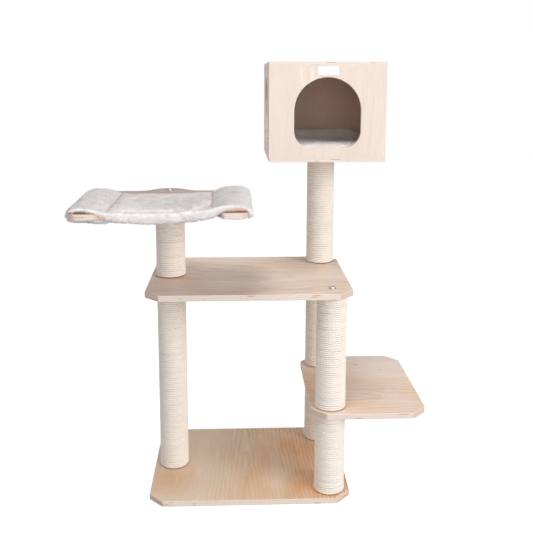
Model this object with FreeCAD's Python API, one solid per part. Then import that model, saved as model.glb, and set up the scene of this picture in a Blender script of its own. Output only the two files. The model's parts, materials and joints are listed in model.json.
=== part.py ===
"""Cat tree of plywood boards on sisal-wrapped posts, with a box condo and a slip-on hammock.

Millimetres, +Z up, +Y to the back. The origin is the middle of the base board's underside.
Each named piece is written to parts/NODE.step.
"""
import FreeCAD
import Part
import math
import os

V = FreeCAD.Vector

# Boards
BOARD_THICKNESS = 18.0
BOARD_WIDTH = 600.0
BOARD_DEPTH = 450.0
STEP_WIDTH = 342.0
CORNER_CUT = 42.0
CORNER_SOFTENING = 5.0
STEP_CORNER_SOFTENING = 18.0
EDGE_ROUND = 1.5
POST_INSET = 60.0
STEP_INSET = 60.0

# Posts
POST_RADIUS = 45.0
ROPE = 6.0
TUBE_WALL = 4.0
PLUG_THICKNESS = 22.0
POST_SHORT = 247.0
POST_MIDDLE = 343.0
POST_HAMMOCK = 250.0
POST_CONDO = 353.0
POST_Y = 166.0

# M8 hardware
BOLT_RADIUS = 4.0
CLEARANCE_RADIUS = 4.5
PIVOT_CLEARANCE = 0.08
THREAD_GAP = 0.05
WASHER_RADIUS = 11.5
WASHER_THICKNESS = 1.6
HEAD_RADIUS = 7.5
HEAD_HEIGHT = 4.6
SOCKET_ACROSS = 5.0
SOCKET_DEPTH = 2.6
INSERT_RADIUS = 6.0
INSERT_LENGTH = 16.0
FLANGE_RADIUS = 10.0
FLANGE_THICKNESS = 1.5
ENGAGEMENT = 14.0
COUNTERBORE_RADIUS = 13.0
COUNTERBORE_DEPTH = 9.0

# Condo
PANEL = 12.0
PANEL_EASE = 0.7
DOOR_EASE = 1.2
CONDO_WIDTH = 350.0
CONDO_DEPTH = 400.0
CONDO_HEIGHT = 298.0
CONDO_OFFSET_X = -4.0
DOOR_RADIUS = 100.0
DOOR_TOP_BELOW_ROOF = 46.0
DOOR_SILL_ABOVE_BASE = 44.0
DOOR_LOW_X = 55.0
DOOR_HUMP = 9.0
DOOR_CORNER = 50.0
PLATE_WIDTH = 60.0
PLATE_HEIGHT = 25.0
PLATE_THICKNESS = 1.2
PLATE_BELOW_ROOF = 27.5
PIN_RADIUS = 1.3
DOWEL_RADIUS = 3.0
DOWEL_LENGTH = 24.0
DOWEL_IN_EDGE = 16.0
CUSHION_GAP = 5.0
SOFT_GAP = 0.3
CUSHION_THICKNESS = 34.0
CUSHION_RIM_HEIGHT = 66.0
CUSHION_RIM_WIDTH = 26.0
CUSHION_RIM_REACH = 95.0
CUSHION_ROUND = 12.0

# Hammock, along its own axes: u to its right and v to its back, from the bolt
HAMMOCK_TURN = 1.5
HAMMOCK_BOARD = 15.0
HAMMOCK_WIDTH = 456.0
PRONG_WIDTH = 73.0
PRONG_FRONT = -403.0
PRONG_OUTER_ROUND = 24.0
PRONG_INNER_ROUND = 10.0
BAR_FRONT = -66.0
BAR_BACK = -6.0
BAR_INNER_ROUND = 14.0
BULGE_BACK = 51.0
BULGE_HALF_WIDTH = 98.0
POCKET_FRONT = -392.0
POCKET_BACK = -69.0
POCKET_SKIN = 7.0
POCKET_OUTER_GAP = 3.0
POCKET_INNER_GAP = 12.0
POCKET_TOP_GAP = 6.0
POCKET_UNDER_GAP = 1.5
POCKET_ROUND = 9.0
BED_ABOVE_BOARD = 4.0
BED_THICKNESS = 24.0
BED_SAG = 9.0

# Staples that hold the rope's ends
STAPLE_WIDTH = 10.0
STAPLE_WIRE = 1.0
STAPLE_LEG = 4.5

# Places that follow from the dimensions above
POST_X = BOARD_WIDTH / 2 - POST_INSET
LEFT = (-POST_X, 0.0)
FRONT = (POST_X, -POST_Y)
BACK = (POST_X, POST_Y)
STEP_BOTTOM = BOARD_THICKNESS + POST_SHORT
STEP_TOP = STEP_BOTTOM + BOARD_THICKNESS
MIDDLE_BOTTOM = STEP_TOP + POST_MIDDLE
MIDDLE_TOP = MIDDLE_BOTTOM + BOARD_THICKNESS
HAMMOCK_Z = MIDDLE_TOP + POST_HAMMOCK
CONDO_Z = MIDDLE_TOP + POST_CONDO
STEP_X = POST_X - STEP_INSET + STEP_WIDTH / 2
CONDO_X = POST_X + CONDO_OFFSET_X
CORE_RADIUS = POST_RADIUS - ROPE

# name, (x, y), lowest z, length, direction of its staples in degrees
POSTS = [
    ("left_lower_post", LEFT, BOARD_THICKNESS, MIDDLE_BOTTOM - BOARD_THICKNESS, 90.0),
    ("left_upper_post", LEFT, MIDDLE_TOP, POST_HAMMOCK, 90.0),
    ("front_right_lower_post", FRONT, BOARD_THICKNESS, POST_SHORT, 90.0),
    ("front_right_upper_post", FRONT, STEP_TOP, POST_MIDDLE, 90.0),
    ("back_right_lower_post", BACK, BOARD_THICKNESS, POST_SHORT, 90.0),
    ("back_right_upper_post", BACK, STEP_TOP, POST_MIDDLE, 90.0),
    ("condo_post", BACK, MIDDLE_TOP, POST_CONDO, 90.0),
]


def cylinder(radius, z0, z1, x=0.0, y=0.0):
    return Part.makeCylinder(radius, z1 - z0, V(x, y, z0))


def box(x0, x1, y0, y1, z0, z1):
    return Part.makeBox(x1 - x0, y1 - y0, z1 - z0, V(x0, y0, z0))


def group(shapes):
    solids = [s for shape in shapes for s in shape.Solids]
    return Part.makeCompound(solids)


def save(name, shape):
    os.makedirs("parts", exist_ok=True)
    for solid in shape.Solids:
        assert solid.isValid() and solid.Volume > 0, name
    shape.exportStep(f"parts/{name}.step")


def prism_from_outline(points, z0, height):
    loop = [V(x, y, z0) for x, y in points]
    loop.append(loop[0])
    face = Part.Face(Part.makePolygon(loop))
    return face.extrude(V(0, 0, height))


def upright_edges(solid):
    height = solid.BoundBox.ZLength
    return [e for e in solid.Edges if abs(e.BoundBox.ZLength - height) < 1e-3]


def round_outline_edges(solid, radius):
    """Rounds the edges that lie in the top and bottom faces' outlines."""
    low, high = solid.BoundBox.ZMin, solid.BoundBox.ZMax
    edges = [
        e for e in solid.Edges
        if abs(e.BoundBox.ZMax - e.BoundBox.ZMin) < 1e-3
        and min(abs(e.BoundBox.ZMin - low), abs(e.BoundBox.ZMin - high)) < 1e-3
    ]
    return solid.makeFillet(radius, edges)


def cut_corner_board(width, centre_x, z0, softening):
    """A platform with its four corners cut at 45 degrees and its edges eased."""
    w, d, cut = width / 2, BOARD_DEPTH / 2, CORNER_CUT
    outline = [
        (-w, -d + cut), (-w + cut, -d), (w - cut, -d), (w, -d + cut),
        (w, d - cut), (w - cut, d), (-w + cut, d), (-w, d - cut),
    ]
    outline = [(x + centre_x, y) for x, y in outline]
    board = prism_from_outline(outline, z0, BOARD_THICKNESS)
    board = board.makeFillet(softening, upright_edges(board))
    return round_outline_edges(board, EDGE_ROUND)


def drill(board, places, radius=CLEARANCE_RADIUS):
    low, high = board.BoundBox.ZMin - 1, board.BoundBox.ZMax + 1
    for x, y in places:
        board = board.cut(cylinder(radius, low, high, x, y))
    return board


def make_boards():
    base = cut_corner_board(BOARD_WIDTH, 0, 0, CORNER_SOFTENING)
    base = drill(base, (LEFT, FRONT, BACK))
    for x, y in (LEFT, FRONT, BACK):
        base = base.cut(cylinder(COUNTERBORE_RADIUS, -1, COUNTERBORE_DEPTH, x, y))
    step = cut_corner_board(STEP_WIDTH, STEP_X, STEP_BOTTOM, STEP_CORNER_SOFTENING)
    middle = cut_corner_board(BOARD_WIDTH, 0, MIDDLE_BOTTOM, CORNER_SOFTENING)
    save("base_board", base)
    save("step_platform", drill(step, (FRONT, BACK)))
    save("middle_platform", drill(middle, (LEFT, FRONT, BACK)))


def staple(x, y, z, angle, grow=0.0):
    """A staple across the rope, its legs pointing at the post's axis."""
    half, wire = STAPLE_WIDTH / 2 + grow, STAPLE_WIRE / 2 + grow
    outer = POST_RADIUS + STAPLE_WIRE
    inner = POST_RADIUS - STAPLE_LEG - grow
    crown = box(inner, outer, -wire, wire, -half, half)
    if not grow:
        gap = half - STAPLE_WIRE
        crown = crown.cut(box(inner - 1, POST_RADIUS + 0.1, -2, 2, -gap, gap))
    crown.rotate(V(0, 0, 0), V(0, 0, 1), angle)
    crown.translate(V(x, y, z))
    return crown


def staple_slots(x, y, z, angle):
    """Slots in the rope for the staple's two legs."""
    whole = staple(x, y, z, angle, grow=0.05)
    between = box(0, 2 * POST_RADIUS, -2, 2, -STAPLE_WIDTH / 2 + STAPLE_WIRE + 0.05,
                  STAPLE_WIDTH / 2 - STAPLE_WIRE - 0.05)
    between.rotate(V(0, 0, 0), V(0, 0, 1), angle)
    between.translate(V(x, y, z))
    return whole.cut(between)


def end_plug(x, y, z_face, inward):
    """Wooden disc in the tube's end; inward is +1 where the post rises from z_face."""
    z1 = z_face + inward * PLUG_THICKNESS
    radius = CORE_RADIUS - TUBE_WALL - THREAD_GAP
    plug = cylinder(radius, min(z_face, z1), max(z_face, z1), x, y)
    plug = plug.cut(cylinder(INSERT_RADIUS + THREAD_GAP, min(z_face, z1) - 1,
                             max(z_face, z1) + 1, x, y))
    seat = z_face + inward * FLANGE_THICKNESS
    return plug.cut(cylinder(FLANGE_RADIUS + THREAD_GAP, min(z_face, seat),
                             max(z_face, seat), x, y))


def threaded_insert(x, y, z_face, inward):
    """Flanged M8 insert, its flange flush with the plug's face."""
    z1 = z_face + inward * INSERT_LENGTH
    seat = z_face + inward * FLANGE_THICKNESS
    barrel = cylinder(INSERT_RADIUS, min(z_face, z1), max(z_face, z1), x, y)
    flange = cylinder(FLANGE_RADIUS, min(z_face, seat), max(z_face, seat), x, y)
    bore = cylinder(BOLT_RADIUS + THREAD_GAP, min(z_face, z1) - 1, max(z_face, z1) + 1, x, y)
    return barrel.fuse(flange).cut(bore)


def make_posts():
    inserts, staples = [], []
    for name, (x, y), z0, length, angle in POSTS:
        z1 = z0 + length
        tube = cylinder(CORE_RADIUS - THREAD_GAP, z0, z1, x, y)
        tube = tube.cut(cylinder(CORE_RADIUS - TUBE_WALL, z0 - 1, z1 + 1, x, y))
        rope = cylinder(POST_RADIUS, z0, z1, x, y)
        rope = rope.cut(cylinder(CORE_RADIUS, z0 - 1, z1 + 1, x, y))
        for z in (z0 + 3 * ROPE, z1 - 5 * ROPE):
            rope = rope.cut(staple_slots(x, y, z, angle))
            staples.append(staple(x, y, z, angle))
        save(f"{name}_tube", tube)
        save(f"{name}_sisal_rope", rope)
        save(f"{name}_end_plugs", group([end_plug(x, y, z0, 1), end_plug(x, y, z1, -1)]))
        inserts += [threaded_insert(x, y, z0, 1), threaded_insert(x, y, z1, -1)]
    save("threaded_inserts", group(inserts))
    save("rope_staples", group(staples))


def washer(x, y, z0, hole=CLEARANCE_RADIUS):
    ring = cylinder(WASHER_RADIUS, z0, z0 + WASHER_THICKNESS, x, y)
    return ring.cut(cylinder(hole, z0 - 1, z0 + WASHER_THICKNESS + 1, x, y))


def bolt(x, y, z_seat, reach, up):
    """Button-head M8 bolt; its head sits on z_seat and points up (+1) or down (-1)."""
    head = Part.makeCylinder(HEAD_RADIUS, HEAD_HEIGHT, V(0, 0, 0))
    rim = [e for e in head.Edges if abs(e.BoundBox.ZMin - HEAD_HEIGHT) < 1e-3
           and abs(e.BoundBox.ZMax - HEAD_HEIGHT) < 1e-3]
    head = head.makeFillet(HEAD_HEIGHT * 0.55, rim)
    corner = SOCKET_ACROSS / 2 / math.cos(math.pi / 6)
    hexagon = [
        (corner * math.cos(math.pi / 3 * k), corner * math.sin(math.pi / 3 * k))
        for k in range(6)
    ]
    socket = prism_from_outline(hexagon, HEAD_HEIGHT - SOCKET_DEPTH, SOCKET_DEPTH + 1)
    shank = Part.makeCylinder(BOLT_RADIUS, reach, V(0, 0, -reach))
    whole = head.fuse(shank).cut(socket)
    if up < 0:
        whole.rotate(V(0, 0, 0), V(1, 0, 0), 180)
    whole.translate(V(x, y, z_seat))
    return whole


def stud(x, y, board_bottom):
    """Double-ended stud through a board, into the posts above and below it."""
    return cylinder(BOLT_RADIUS, board_bottom - ENGAGEMENT,
                    board_bottom + BOARD_THICKNESS + ENGAGEMENT, x, y)


def make_hardware():
    places = (LEFT, FRONT, BACK)
    seat = COUNTERBORE_DEPTH - WASHER_THICKNESS
    under = BOARD_THICKNESS - seat + ENGAGEMENT
    save("base_washers", group([washer(x, y, seat) for x, y in places]))
    save("base_bolts", group([bolt(x, y, seat, under, -1) for x, y in places]))
    studs = [stud(*FRONT, STEP_BOTTOM), stud(*BACK, STEP_BOTTOM),
             stud(*LEFT, MIDDLE_BOTTOM), stud(*BACK, MIDDLE_BOTTOM)]
    save("joining_studs", group(studs))
    tops = [
        ("platform", FRONT, MIDDLE_TOP, BOARD_THICKNESS),
        ("condo", BACK, CONDO_Z + PANEL, PANEL),
        ("hammock", LEFT, HAMMOCK_Z + HAMMOCK_BOARD, HAMMOCK_BOARD),
    ]
    for name, (x, y), z, board in tops:
        save(f"{name}_washer", washer(x, y, z))
        reach = WASHER_THICKNESS + board + ENGAGEMENT
        save(f"{name}_bolt", bolt(x, y, z + WASHER_THICKNESS, reach, 1))


def door_face(u_centre, z_base):
    """Door outline in the XZ plane: a round arch with a humped sill and round corners."""
    low = z_base + DOOR_SILL_ABOVE_BASE
    top = z_base + CONDO_HEIGHT - DOOR_TOP_BELOW_ROOF
    spring = top - DOOR_RADIUS
    corner_z = low + DOOR_CORNER

    def at(u, z):
        return V(u_centre + u, 0, z)

    bend = DOOR_CORNER * math.sqrt(0.5)
    corner_u = DOOR_RADIUS - DOOR_CORNER
    right = Part.Arc(at(DOOR_RADIUS, corner_z),
                     at(corner_u + bend, corner_z - bend),
                     at(corner_u, low)).toShape()
    left = Part.Arc(at(-corner_u, low), at(-corner_u - bend, corner_z - bend),
                    at(-DOOR_RADIUS, corner_z)).toShape()
    sill = Part.BezierCurve()
    sill.setPoles([at(corner_u, low), at(corner_u * 0.5, low),
                   at(corner_u * 0.5, low + DOOR_HUMP), at(0, low + DOOR_HUMP),
                   at(-corner_u * 0.5, low + DOOR_HUMP), at(-corner_u * 0.5, low),
                   at(-corner_u, low)])
    arch = Part.Arc(at(-DOOR_RADIUS, spring), at(0, top),
                    at(DOOR_RADIUS, spring)).toShape()
    wire = Part.Wire([
        Part.LineSegment(at(DOOR_RADIUS, spring), at(DOOR_RADIUS, corner_z)).toShape(),
        right, sill.toShape(), left,
        Part.LineSegment(at(-DOOR_RADIUS, corner_z), at(-DOOR_RADIUS, spring)).toShape(),
        arch,
    ])
    return Part.Face(wire)


def dowel(centre, axis, gap=0.0):
    """A dowel from its end in the thin board, along axis, into the other board's edge."""
    start = centre - axis * (DOWEL_LENGTH - DOWEL_IN_EDGE + gap)
    return Part.makeCylinder(DOWEL_RADIUS + gap, DOWEL_LENGTH + 2 * gap, start, axis)


def condo_dowel_places(x0, x1, y0, y1, z0, z1):
    """Each dowel's point on the joint's face and its direction into the panel's edge."""
    mid = PANEL / 2
    up, down, back, forward = V(0, 0, 1), V(0, 0, -1), V(0, 1, 0), V(0, -1, 0)
    across = [x0 + 40, x1 - 40]
    along = [y0 + 70, y1 - 70]
    high = [z0 + 60, z1 - 60]
    places = []
    for z, way in ((z0 + PANEL, up), (z1 - PANEL, down)):
        places += [(V(x, y, z), way) for x in across for y in (y0 + mid, y1 - mid)]
        places += [(V(x, y, z), way) for x in (x0 + mid, x1 - mid) for y in along]
    for y, way in ((y0 + PANEL, back), (y1 - PANEL, forward)):
        places += [(V(x, y, z), way) for x in (x0 + mid, x1 - mid) for z in high]
    return places


def eased_box(x0, x1, y0, y1, z0, z1):
    """A panel with its sharp edges taken off."""
    panel = box(x0, x1, y0, y1, z0, z1)
    return panel.makeFillet(PANEL_EASE, panel.Edges)


def cut_door(panel, door):
    """Cuts a doorway through a panel and eases its rim on both faces."""
    opened = panel.cut(door)
    low, high = door.BoundBox.ZMin - 1, door.BoundBox.ZMax + 1
    rim = [
        e for e in opened.Edges
        if e.BoundBox.ZMin > low and e.BoundBox.ZMax < high and e.BoundBox.ZLength > 1
    ]
    return opened.makeFillet(DOOR_EASE, rim)


def make_condo():
    x0, x1 = CONDO_X - CONDO_WIDTH / 2, CONDO_X + CONDO_WIDTH / 2
    y0, y1 = POST_Y - CONDO_DEPTH / 2, POST_Y + CONDO_DEPTH / 2
    z0, z1 = CONDO_Z, CONDO_Z + CONDO_HEIGHT
    inner_z0, inner_z1 = z0 + PANEL, z1 - PANEL
    door = door_face(CONDO_X, z0).extrude(V(0, PANEL + 2, 0))
    door.translate(V(0, y0 - 1, 0))
    side_door = door_face(0, z0).extrude(V(0, PANEL + 2, 0))
    side_door.rotate(V(0, 0, 0), V(0, 0, 1), -90)
    side_door.translate(V(x0 - 1, POST_Y, 0))
    front = eased_box(x0, x1, y0, y0 + PANEL, inner_z0, inner_z1)
    left = eased_box(x0, x0 + PANEL, y0 + PANEL, y1 - PANEL, inner_z0, inner_z1)
    panels = {
        "condo_floor": drill(eased_box(x0, x1, y0, y1, z0, inner_z0), [BACK]),
        "condo_roof": eased_box(x0, x1, y0, y1, inner_z1, z1),
        "condo_front_panel": cut_door(front, door),
        "condo_back_panel": eased_box(x0, x1, y1 - PANEL, y1, inner_z0, inner_z1),
        "condo_left_panel": cut_door(left, side_door),
        "condo_right_panel": eased_box(x1 - PANEL, x1, y0 + PANEL, y1 - PANEL,
                                       inner_z0, inner_z1),
    }
    places = condo_dowel_places(x0, x1, y0, y1, z0, z1)
    holes = group([dowel(point, way, THREAD_GAP) for point, way in places])
    for name, panel in panels.items():
        save(name, panel.cut(holes))
    save("condo_dowels", group([dowel(point, way) for point, way in places]))
    make_name_plate(y0, z1)
    make_cushion(x0 + PANEL, x1 - PANEL, y0 + PANEL, y1 - PANEL, inner_z0)


def make_name_plate(face_y, roof_z):
    """Plain metal plate above the door, on two round-headed pins."""
    z = roof_z - PLATE_BELOW_ROOF
    w, h = PLATE_WIDTH / 2, PLATE_HEIGHT / 2
    plate = box(CONDO_X - w, CONDO_X + w, face_y - PLATE_THICKNESS, face_y, z - h, z + h)
    upright = [e for e in plate.Edges if e.BoundBox.YLength > PLATE_THICKNESS - 1e-3]
    save("name_plate", plate.makeFillet(2.5, upright))
    pins = []
    for x in (CONDO_X - w + 3.5, CONDO_X + w - 3.5):
        head = Part.makeSphere(PIN_RADIUS, V(x, face_y - PLATE_THICKNESS, z))
        pins.append(head.common(box(x - 5, x + 5, face_y - 5, face_y - PLATE_THICKNESS,
                                    z - 5, z + 5)))
    save("name_plate_pins", group(pins))


def raised_edge_profile(depth):
    """Side view of the cushion: flat at the front, climbing to a rim at the back."""
    flat, top = CUSHION_THICKNESS, CUSHION_RIM_HEIGHT
    start, crest = depth - CUSHION_RIM_REACH, depth - CUSHION_RIM_WIDTH
    middle = (start + crest) / 2
    climb = Part.BezierCurve()
    climb.setPoles([V(0, start, flat), V(0, middle, flat), V(0, middle, top), V(0, crest, top)])
    corners = [V(0, crest, top), V(0, depth, top), V(0, depth, 0), V(0, 0, 0), V(0, 0, flat),
               V(0, start, flat)]
    sides = [Part.LineSegment(a, b).toShape() for a, b in zip(corners, corners[1:])]
    return Part.Face(Part.Wire([climb.toShape()] + sides))


def make_cushion(x0, x1, y0, y1, floor_z):
    """Loose cushion that climbs the back wall, dented underneath by the bolt's head."""
    width = x1 - x0 - 2 * CUSHION_GAP
    depth = y1 - y0 - 2 * CUSHION_GAP
    pad = raised_edge_profile(depth).extrude(V(width, 0, 0))
    upright = [e for e in pad.Edges if e.BoundBox.ZLength > CUSHION_THICKNESS - 1]
    pad = pad.makeFillet(CUSHION_ROUND, [e for e in upright if e.BoundBox.YLength < 1])
    pad.translate(V(x0 + CUSHION_GAP, y0 + CUSHION_GAP, floor_z + SOFT_GAP))
    dent = cylinder(WASHER_RADIUS + 3, floor_z, floor_z + WASHER_THICKNESS + HEAD_HEIGHT + 3,
                    *BACK)
    save("condo_cushion", pad.cut(dent))


def bulge_curve(u_from, v_from, u_to, v_to):
    """S-shaped edge between two points, flat at both ends."""
    middle = (u_from + u_to) / 2
    curve = Part.BezierCurve()
    curve.setPoles([V(u_from, v_from, 0), V(middle, v_from, 0),
                    V(middle, v_to, 0), V(u_to, v_to, 0)])
    return curve.toShape()


def round_uprights(solid, places, radius):
    """Rounds the upright edges that stand at the given (x, y) places."""
    edges = [
        e for e in solid.Edges if e.BoundBox.ZLength > HAMMOCK_BOARD / 2
        and any(abs(e.BoundBox.XMin - x) < 1 and abs(e.BoundBox.YMin - y) < 1
                for x, y in places)
    ]
    return solid.makeFillet(radius, edges)


def hammock_board(z0):
    """U-shaped board: two prongs to the front, and a bar that swells back over the post."""
    outer, inner = HAMMOCK_WIDTH / 2, HAMMOCK_WIDTH / 2 - PRONG_WIDTH
    corners = [
        (-BULGE_HALF_WIDTH, BAR_BACK), (-outer, BAR_BACK), (-outer, PRONG_FRONT),
        (-inner, PRONG_FRONT), (-inner, BAR_FRONT), (inner, BAR_FRONT),
        (inner, PRONG_FRONT), (outer, PRONG_FRONT), (outer, BAR_BACK),
        (BULGE_HALF_WIDTH, BAR_BACK),
    ]
    edges = [
        Part.LineSegment(V(*a, 0), V(*b, 0)).toShape() for a, b in zip(corners, corners[1:])
    ]
    edges.append(bulge_curve(BULGE_HALF_WIDTH, BAR_BACK, 0, BULGE_BACK))
    edges.append(bulge_curve(0, BULGE_BACK, -BULGE_HALF_WIDTH, BAR_BACK))
    board = Part.Face(Part.Wire(edges)).extrude(V(0, 0, HAMMOCK_BOARD))
    for side in (-1, 1):
        far = [(side * outer, PRONG_FRONT), (side * outer, BAR_BACK)]
        board = round_uprights(board, far, PRONG_OUTER_ROUND)
        board = round_uprights(board, [(side * inner, PRONG_FRONT)], PRONG_INNER_ROUND)
        board = round_uprights(board, [(side * inner, BAR_FRONT)], BAR_INNER_ROUND)
    board = round_outline_edges(board, EDGE_ROUND)
    board.translate(V(0, 0, z0))
    return drill(board, [(0, 0)], BOLT_RADIUS + PIVOT_CLEARANCE)


def hammock_pocket(side, z0):
    """Fabric tube round one prong, open at both ends."""
    inner = HAMMOCK_WIDTH / 2 - PRONG_WIDTH - POCKET_INNER_GAP
    outer = HAMMOCK_WIDTH / 2 + POCKET_OUTER_GAP
    low, high = z0 - POCKET_UNDER_GAP, z0 + HAMMOCK_BOARD + POCKET_TOP_GAP
    skin = POCKET_SKIN
    body = box(inner - skin, outer + skin, POCKET_FRONT, POCKET_BACK, low - skin, high + skin)
    long_edges = [e for e in body.Edges if e.BoundBox.YLength > skin]
    body = body.makeFillet(POCKET_ROUND, long_edges)
    pocket = body.cut(box(inner, outer, POCKET_FRONT - 1, POCKET_BACK + 1, low, high))
    return pocket if side > 0 else pocket.mirror(V(0, 0, 0), V(1, 0, 0))


def hammock_bed(z0):
    """Padded panel that hangs in a shallow curve between the two pockets."""
    half = HAMMOCK_WIDTH / 2 - PRONG_WIDTH - POCKET_INNER_GAP - POCKET_SKIN / 2
    top = z0 + HAMMOCK_BOARD + BED_ABOVE_BOARD
    low = top - BED_THICKNESS
    front = POCKET_FRONT

    def sagging(z):
        return Part.Arc(V(-half, front, z), V(0, front, z - BED_SAG),
                        V(half, front, z)).toShape()

    ends = [Part.LineSegment(V(u, front, low), V(u, front, top)).toShape()
            for u in (-half, half)]
    face = Part.Face(Part.Wire(Part.sortEdges([sagging(top), sagging(low)] + ends)[0]))
    return face.extrude(V(0, POCKET_BACK - front, 0))


def make_hammock():
    cover = hammock_bed(HAMMOCK_Z).multiFuse(
        [hammock_pocket(side, HAMMOCK_Z) for side in (-1, 1)]
    )
    pieces = {"hammock_board": hammock_board(HAMMOCK_Z),
              "hammock_cover": cover.removeSplitter()}
    for name, shape in pieces.items():
        shape.rotate(V(0, 0, 0), V(0, 0, 1), HAMMOCK_TURN)
        shape.translate(V(*LEFT, 0))
        save(name, shape)


make_boards()
make_posts()
make_hardware()
make_condo()
make_hammock()
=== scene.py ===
"""Looks of the cat tree: veneered boards, wound sisal, a plush hammock cover and cushion."""
import json
import math

import bmesh
import bpy
import numpy as np
from mathutils import Matrix, Vector, noise


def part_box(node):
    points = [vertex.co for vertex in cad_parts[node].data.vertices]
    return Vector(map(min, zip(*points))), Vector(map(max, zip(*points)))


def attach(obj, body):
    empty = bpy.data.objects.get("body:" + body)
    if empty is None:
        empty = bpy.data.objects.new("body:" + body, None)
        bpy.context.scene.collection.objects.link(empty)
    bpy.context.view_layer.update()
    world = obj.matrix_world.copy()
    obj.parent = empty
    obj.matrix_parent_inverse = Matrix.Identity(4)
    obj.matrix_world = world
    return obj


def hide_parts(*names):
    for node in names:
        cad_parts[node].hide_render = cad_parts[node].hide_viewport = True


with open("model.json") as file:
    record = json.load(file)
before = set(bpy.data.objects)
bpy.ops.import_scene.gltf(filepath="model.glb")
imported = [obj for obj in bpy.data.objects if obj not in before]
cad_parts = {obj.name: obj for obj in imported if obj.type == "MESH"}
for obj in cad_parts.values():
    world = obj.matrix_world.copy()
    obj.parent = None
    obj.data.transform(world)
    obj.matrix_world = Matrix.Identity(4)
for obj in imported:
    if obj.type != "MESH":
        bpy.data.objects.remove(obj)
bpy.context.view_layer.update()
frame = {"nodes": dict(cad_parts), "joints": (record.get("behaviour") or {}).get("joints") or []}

NODES = frame["nodes"]
JOINTS = {joint["name"]: joint for joint in frame["joints"]}
MM = 0.001
X, Y, Z = 0, 1, 2

# ---- shader building


class Shader:
    """Builds one node material, step by step."""

    def __init__(self, name):
        self.material = bpy.data.materials.new(name)
        self.material.use_nodes = True
        self.tree = self.material.node_tree
        self.surface = self.tree.nodes["Principled BSDF"]

    def node(self, kind, **settings):
        made = self.tree.nodes.new("ShaderNode" + kind)
        for key, value in settings.items():
            setattr(made, key, value)
        return made

    def plug(self, source, socket):
        """Links a socket, or sets a plain value on it."""
        if isinstance(source, bpy.types.NodeSocket):
            self.tree.links.new(source, socket)
        elif source is not None:
            socket.default_value = source

    def math(self, operation, *values, clamp=False):
        made = self.node("Math", operation=operation, use_clamp=clamp)
        for socket, value in zip(made.inputs, values):
            self.plug(value, socket)
        return made.outputs[0]

    def times(self, a, b, plus=None):
        """a times b, plus what is to be added."""
        if plus is None:
            return self.math("MULTIPLY", a, b)
        return self.math("MULTIPLY_ADD", a, b, plus)

    def split(self, vector):
        made = self.node("SeparateXYZ")
        self.plug(vector, made.inputs[0])
        return list(made.outputs)

    def position(self):
        """X, Y and Z of the point in the object's own coordinates, in metres."""
        return self.split(self.node("TexCoord").outputs["Object"])

    def normal(self):
        return self.split(self.node("TexCoord").outputs["Normal"])

    def vector(self, x, y, z):
        made = self.node("CombineXYZ")
        for socket, value in zip(made.inputs, (x, y, z)):
            self.plug(value, socket)
        return made.outputs[0]

    def scaled(self, parts, factors, offset=0.0):
        """A vector whose parts are each multiplied by a factor."""
        moved = [self.times(p, f, offset) for p, f in zip(parts, factors)]
        return self.vector(*moved)

    def noise(self, vector, scale=1.0, detail=2.0, roughness=0.5):
        made = self.node("TexNoise")
        self.plug(vector, made.inputs["Vector"])
        self.plug(scale, made.inputs["Scale"])
        self.plug(detail, made.inputs["Detail"])
        self.plug(roughness, made.inputs["Roughness"])
        return made.outputs[0]

    def ramp(self, value, stops):
        """Grey ramp; stops are (place, grey)."""
        made = self.node("ValToRGB")
        self.plug(value, made.inputs[0])
        made.color_ramp.interpolation = "EASE"
        elements = made.color_ramp.elements
        while len(elements) < len(stops):
            elements.new(0.5)
        for element, (place, grey) in zip(elements, stops):
            element.position = place
            element.color = (grey, grey, grey, 1)
        return made.outputs[0]

    def mix(self, factor, a, b, kind="MIX"):
        made = self.node("Mix", data_type="RGBA", blend_type=kind)
        self.plug(factor, made.inputs[0])
        for source, socket in ((a, made.inputs[6]), (b, made.inputs[7])):
            self.plug((*source, 1) if isinstance(source, tuple) else source, socket)
        return made.outputs[2]

    def tinted(self, colour, tint):
        return self.mix(1.0, colour, tint, kind="MULTIPLY")

    def bump(self, height, strength, distance, below=None):
        made = self.node("Bump")
        made.inputs["Strength"].default_value = strength
        made.inputs["Distance"].default_value = distance
        self.plug(height, made.inputs["Height"])
        self.plug(below, made.inputs["Normal"])
        return made.outputs[0]

    def finish(self, colour, roughness, normal=None, **constants):
        self.plug((*colour, 1) if isinstance(colour, tuple) else colour,
                  self.surface.inputs["Base Color"])
        self.plug(roughness, self.surface.inputs["Roughness"])
        self.plug(normal, self.surface.inputs["Normal"])
        for name, value in constants.items():
            self.surface.inputs[name.replace("_", " ")].default_value = value
        return self.material


def srgb(r, g, b):
    """Linear colour from 0 to 255 display values."""
    def linear(c):
        c /= 255
        return c / 12.92 if c <= 0.04045 else ((c + 0.055) / 1.055) ** 2.4
    return tuple(linear(c) for c in (r, g, b))


# ---- sisal rope's make

ROPE_MAP = "rope"
ROPE = 6 * MM
CORE_RADIUS = 42 * MM
LAP_LENGTH = 2 * math.pi * CORE_RADIUS
LAP_STEPS = 150
STRANDS = 3
BUMPS_PER_LAP = 42

# places round the rope's section: close together outside, where they show
ROPE_TURNS = np.radians([-78, -39, 0, 39, 78, 180])

# ---- materials

PILE = "pile"

BOARD_PLY = 18 * MM / 7
HAMMOCK_PLY = 15 * MM / 7
PANEL_PLY = 12 * MM / 5

PALE_STREAK = srgb(247, 236, 227)
# painted shade: the warm tint of the shade spots on the boards
WARM_SHADE = srgb(240, 208, 168)
KNOT = srgb(196, 146, 108)
LONG_GRAIN = srgb(240, 230, 223), srgb(228, 211, 199)
END_GRAIN = srgb(233, 220, 210), srgb(211, 188, 170)
GLUE = srgb(176, 143, 115)
PLY_GAP = srgb(196, 138, 100)
# painted shade: the tint of the darker cut corners
CUT_CORNER_SHADE = srgb(240, 229, 224)
# painted shade: the tint of the condo's shaded inner faces
INSIDE_SHADE = srgb(240, 224, 215)


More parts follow.
